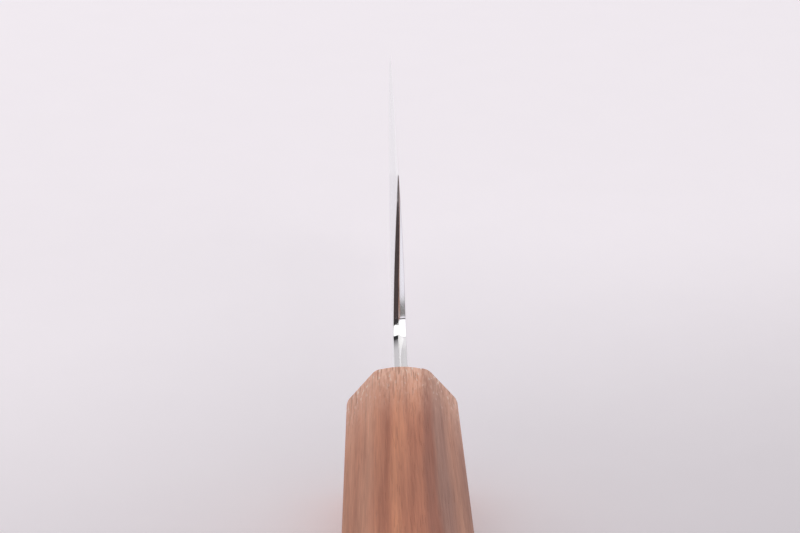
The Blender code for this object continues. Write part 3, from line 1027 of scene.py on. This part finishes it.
def box_bar(low, high, radius):
    """A bar along X between two corners, with its long edges rounded."""
    bm = bmesh.new()
    bmesh.ops.create_cube(bm, size=1.0)
    bmesh.ops.scale(bm, vec=high - low, verts=bm.verts)
    bmesh.ops.translate(bm, vec=(low + high) / 2, verts=bm.verts)
    long_edges = [edge for edge in bm.edges if abs(edge.verts[0].co.x - edge.verts[1].co.x) > 0]
    bmesh.ops.bevel(
        bm, geom=long_edges, offset=radius, segments=POCKET_STEPS, profile=0.5, affect="EDGES"
    )
    return bm


def cut_with(piece, bm, name):
    """Cuts a shape out of a piece and removes the cutter."""
    mesh = finished_mesh(bm, name)
    cutter = add_object(name, mesh)
    cut = piece.modifiers.new(name, "BOOLEAN")
    cut.operation = "DIFFERENCE"
    cut.solver = "EXACT"
    cut.object = cutter
    graph = bpy.context.evaluated_depsgraph_get()
    result = bpy.data.meshes.new_from_object(piece.evaluated_get(graph))
    piece.modifiers.remove(cut)
    old = piece.data
    piece.data = result
    bpy.data.meshes.remove(old)
    bpy.data.objects.remove(cutter, do_unlink=True)
    bpy.data.meshes.remove(mesh)


def cut_pocket(piece, gap):
    """The pocket at the mouth, in which the seal sits."""
    around = Vector((0.0, gap, gap))
    low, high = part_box("mouth_seal")
    low = low - around - Vector((gap, 0.0, 0.0))
    high = high + around + Vector((CUT_PAST, 0.0, 0.0))
    cut_with(piece, box_bar(low, high, POCKET_ROUND), "pocket")


def cut_bore(piece, gap):
    """The bore that holds the dowel."""
    low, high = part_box("dowel_left")
    bore = bmesh.new()
    radius = (high.z - low.z) / 2 + 2 * gap
    bmesh.ops.create_cone(
        bore,
        cap_ends=True,
        segments=BORE_SIDES,
        radius1=radius,
        radius2=radius,
        depth=high.x - low.x + CUT_PAST,
    )
    bmesh.ops.rotate(bore, matrix=Euler((0, math.pi / 2, 0)).to_matrix(), verts=bore.verts)
    centre = Vector(((low.x + high.x) / 2, 0.0, OUTLINE.axis_z))
    bmesh.ops.translate(bore, vec=centre, verts=bore.verts)
    cut_with(piece, bore, "bore")


class KNIFE_OT_handle(Operator):
    """Make the octagonal wooden handle with its bore and the pocket at its mouth"""

    bl_idname = "knife.handle"
    bl_label = "Handle"

    def execute(self, context):
        sizes, colours = context.scene.knife_handle, context.scene.knife_finishes
        piece = place_piece("handle_piece", handle_mesh(sizes), "handle")
        cut_pocket(piece, sizes.bore_gap)
        cut_bore(piece, sizes.bore_gap)
        piece.data.shade_smooth()
        piece.data.set_sharp_from_angle(angle=SHARP_WOOD)
        piece.data.materials.clear()
        piece.data.materials.append(walnut_finish("walnut", colours, sizes.butt_width))
        return {"FINISHED"}


def dress_node(name, material):
    """Gives a carried-over node a finish of its own."""
    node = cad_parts[name]
    if not node.material_slots:
        node.data.materials.append(material)
    for slot in node.material_slots:
        slot.material = material


class KNIFE_OT_seal(Operator):
    """Finish the resin collar that seals the handle's mouth"""

    bl_idname = "knife.seal"
    bl_label = "Mouth seal"

    def execute(self, context):
        dress_node("mouth_seal", resin_finish("resin", context.scene.knife_finishes.resin))
        return {"FINISHED"}


class KNIFE_OT_dowel(Operator):
    """Finish the two halves of the dowel that grips the tang"""

    bl_idname = "knife.dowel"
    bl_label = "Dowel"

    def execute(self, context):
        colours = context.scene.knife_finishes
        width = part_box("dowel_left")[1].y * 2
        wood = dowel_finish("dowel_wood", colours.dowel_dark, colours.dowel_light, width)
        for name in ("dowel_left", "dowel_right"):
            dress_node(name, wood)
        return {"FINISHED"}


def add_softbox(name, place, target, size_x, size_y, tint, power):
    """A rectangular light that nothing mirrors."""
    light = bpy.data.lights.new(name, "AREA")
    light.shape = "RECTANGLE"
    light.size = size_x
    light.size_y = size_y
    light.energy = power
    light.color = tint
    lamp = add_object(name, light)
    lamp.location = place
    lamp.rotation_euler = (Vector(target) - Vector(place)).to_track_quat("-Z", "Y").to_euler()
    lamp.visible_camera = False
    lamp.visible_glossy = False


# The sky's strength changes from the horizon up to this height, and from this far right to as far left
SKY_HEIGHT = 0.35
SKY_DOWN_UP = (1.7, 1.1)
SKY_SIDE = 0.6
SKY_RIGHT_LEFT = (1.1, 0.9)
SKY_COLOUR = (1.0, 0.975, 0.99, 1.0)


def add_sky(strength):
    """Pale light from all round, strongest near the horizon and on the right."""
    world = bpy.data.worlds.new("studio")
    world.use_nodes = True
    sky = Nodes(world.node_tree)
    where = sky.split("Generated")
    height = sky.span(where["Z"], 0.0, SKY_HEIGHT, *SKY_DOWN_UP)
    side = sky.span(where["Y"], -SKY_SIDE, SKY_SIDE, *SKY_RIGHT_LEFT)
    level = sky.times(sky.times(height, side), strength)
    sky.fill(sky.tree.nodes["Background"], {"Color": SKY_COLOUR, "Strength": level})
    bpy.context.scene.world = world


# Softboxes: name, place, point it faces, width, depth and colour
KEY_LIGHT = ("key", (0.8, 0.45, 0.9), (0.4, 0.1, 0.0), 1.8, 1.8, (1.0, 0.98, 0.99))
SIDE_LIGHT = ("side", (-0.1, -0.8, 0.35), (0.0, 0.0, 0.03), 0.6, 0.4, (0.93, 0.96, 1.0))


class KNIFE_OT_stage(Operator):
    """Make the floor, the camera and the studio light"""

    bl_idname = "knife.stage"
    bl_label = "Stage"

    def execute(self, context):
        scene = context.scene
        settings = scene.knife_stage
        add_camera(settings)
        add_floor(scene.knife_finishes.floor, settings.floor_painted_glow)
        add_softbox(*KEY_LIGHT, settings.key_power)
        add_softbox(*SIDE_LIGHT, settings.side_power)
        for card in STANDING_CARDS:
            add_card(*card)
        for name, x, y, width, depth, tint, glow in FLOOR_CARDS:
            add_card(name, (x, y, CARD_LIFT), (x, y, 1.0), width, depth, tint, glow)
        add_sky(settings.sky)
        scene.view_settings.view_transform = "Standard"
        return {"FINISHED"}


# The camera's sensor in millimetres, and the nearest that it sees in metres
SENSOR_WIDTH = 36.0
NEAREST = 0.01


def add_camera(settings):
    """The camera behind the handle, above it and a little to the left of the blade."""
    data = bpy.data.cameras.new("camera")
    data.sensor_width = SENSOR_WIDTH
    data.lens = settings.focal_pixels * data.sensor_width / PICTURE_WIDTH
    data.clip_start = NEAREST
    camera = add_object("camera", data)
    camera.location = settings.camera_place
    pitch, yaw = settings.pitch, settings.yaw
    level = math.cos(pitch)
    forward = Vector((level * math.cos(yaw), -level * math.sin(yaw), -math.sin(pitch)))
    aim = forward.to_track_quat("-Z", "Y").to_matrix()
    camera.rotation_euler = (aim @ Euler((0.0, 0.0, settings.roll)).to_matrix()).to_euler()
    bpy.context.scene.camera = camera


# Cards round the knife that only its steel mirrors: name, centre, point that each faces, width, height,
# colour and glow. A glow is one number, or what it is at the lower and at the upper edge and the shares
# of the height between which it changes.
AHEAD_RIGHT_GLOW = (0.765, 1.0, 0.285, 0.36)
AHEAD_LEFT_GLOW = (0.73, 0.05, 0.37, 0.62)
STANDING_CARDS = (
    ("overhead", (-0.35, 0.0, 0.9), (-0.35, 0.0, 0.0), 1.85, 1.6, (1.0, 1.0, 1.0), 1.6),
    ("ahead_middle", (1.15, 0.035, 0.3), (0.0, 0.0, 0.0), 0.25, 0.46, (1.0, 0.99, 1.0), 1.25),
    ("ahead_right", (1.2, -0.4, 0.82), (0.0, 0.0, 0.82), 0.8, 1.55, (1.0, 0.975, 1.0), AHEAD_RIGHT_GLOW),
    ("ahead_left", (1.2, 0.4, 0.58), (0.0, 0.0, 0.58), 0.8, 1.06, (1.0, 0.97, 1.0), AHEAD_LEFT_GLOW),
    ("dark_left", (0.51, 0.395, 0.6), (0.51, 0.395, 0.0), 0.48, 0.51, (0.9, 0.9, 1.0), 0.04),
    ("behind_left", (-0.416, 0.563, 0.185), (0.0, 0.0, 0.03), 0.41, 0.43, (1.0, 0.9, 0.88), 0.07),
    ("behind_low", (-0.62, 0.318, 0.255), (0.0, 0.0, 0.255), 0.22, 0.55, (1.0, 0.9, 0.88), 0.05),
    ("behind_middle", (-0.68, 0.08, 0.53), (0.04, -0.005, 0.1), 0.95, 0.76, (1.0, 1.0, 1.0), 1.5),
    ("behind_right", (-0.6, -0.5, 0.32), (0.0, 0.0, 0.0), 0.8, 0.64, (0.98, 0.97, 1.0), 1.5),
)

# Cards that lie just above the floor: name, X, Y, width, depth, colour and glow
CARD_LIFT = 0.5 * MM
FLOOR_CARDS = (
    ("floor_left", -0.10, 0.067, 0.13, 0.09, (1.0, 0.77, 0.76), 0.085),
    ("floor_far_left", -0.45, 0.22, 0.56, 0.36, (1.0, 0.8, 0.76), 0.06),
    ("floor_right", -0.1135, -0.07, 0.063, 0.1, (0.95, 0.93, 1.0), 1.12),
    ("floor_grey", -0.0718, -0.036, 0.0236, 0.034, (1.0, 0.97, 0.96), 0.28),
    ("floor_ahead", 0.085, 0.024, 0.21, 0.046, (0.99, 0.945, 1.0), 0.9),
    ("floor_beyond", 0.34, 0.024, 0.3, 0.046, (0.99, 0.955, 1.0), 0.96),
    ("floor_far_right", -0.26, -0.12, 0.23, 0.12, (1.0, 0.9, 0.85), 0.05),
)


def add_card(name, place, target, width, height, tint, glow):
    """A card that only shows where the steel mirrors it."""
    bpy.ops.mesh.primitive_plane_add(size=1.0, location=place)
    card = bpy.context.object
    card.name = name
    card.scale = (width, height, 1.0)
    card.rotation_euler = (Vector(target) - Vector(place)).to_track_quat("Z", "Y").to_euler()
    for ray in ("camera", "diffuse", "transmission", "shadow", "volume_scatter"):
        setattr(card, "visible_" + ray, False)
    finish = Finish(name)
    if isinstance(glow, tuple):
        low, high, start, end = glow
        glow = finish.span(finish.split("Object")["Y"], start - 0.5, end - 0.5, low, high)
    finish.shade(Base_Color=(0.0, 0.0, 0.0, 1.0), Specular_IOR_Level=0.0)
    finish.shade(Emission_Color=rgba(tint), Emission_Strength=glow)
    card.data.materials.append(finish.material)


FLOOR_SIZE = 8.0


def add_floor(tint, glow):
    bpy.ops.mesh.primitive_plane_add(size=FLOOR_SIZE, location=(0.0, 0.0, 0.0))
    floor = bpy.context.object
    floor.name = "floor"
    floor.data.materials.append(floor_finish(tint, glow))


STEPS = (KNIFE_OT_stage, KNIFE_OT_core, KNIFE_OT_claddings, KNIFE_OT_handle, KNIFE_OT_seal, KNIFE_OT_dowel)


class KNIFE_PT_panel(Panel):
    """Lists the pieces of the knife and its stage"""

    bl_idname = "KNIFE_PT_panel"
    bl_label = "Bunka knife"
    bl_space_type = "VIEW_3D"
    bl_region_type = "UI"
    bl_category = "Knife"

    def draw(self, context):
        for step in STEPS:
            self.layout.operator(step.bl_idname)
        for key in GROUPS:
            group = getattr(context.scene, key)
            box = self.layout.box()
            for name in group.__annotations__:
                box.prop(group, name)


GROUPS = {
    "knife_blade": BladeSizes,
    "knife_handle": HandleSizes,
    "knife_finishes": Finishes,
    "knife_stage": StageSettings,
}


def register():
    for name, group in GROUPS.items():
        bpy.utils.register_class(group)
        setattr(bpy.types.Scene, name, PointerProperty(type=group))
    for step in STEPS:
        bpy.utils.register_class(step)
    bpy.utils.register_class(KNIFE_PT_panel)


def unregister():
    bpy.utils.unregister_class(KNIFE_PT_panel)
    for step in reversed(STEPS):
        bpy.utils.unregister_class(step)
    for name, group in GROUPS.items():
        delattr(bpy.types.Scene, name)
        bpy.utils.unregister_class(group)


def main():
    register()
    bpy.ops.knife.stage()
    bpy.ops.knife.core()
    bpy.ops.knife.claddings()
    bpy.ops.knife.handle()
    bpy.ops.knife.seal()
    bpy.ops.knife.dowel()


if __name__ == "__main__":
    main()
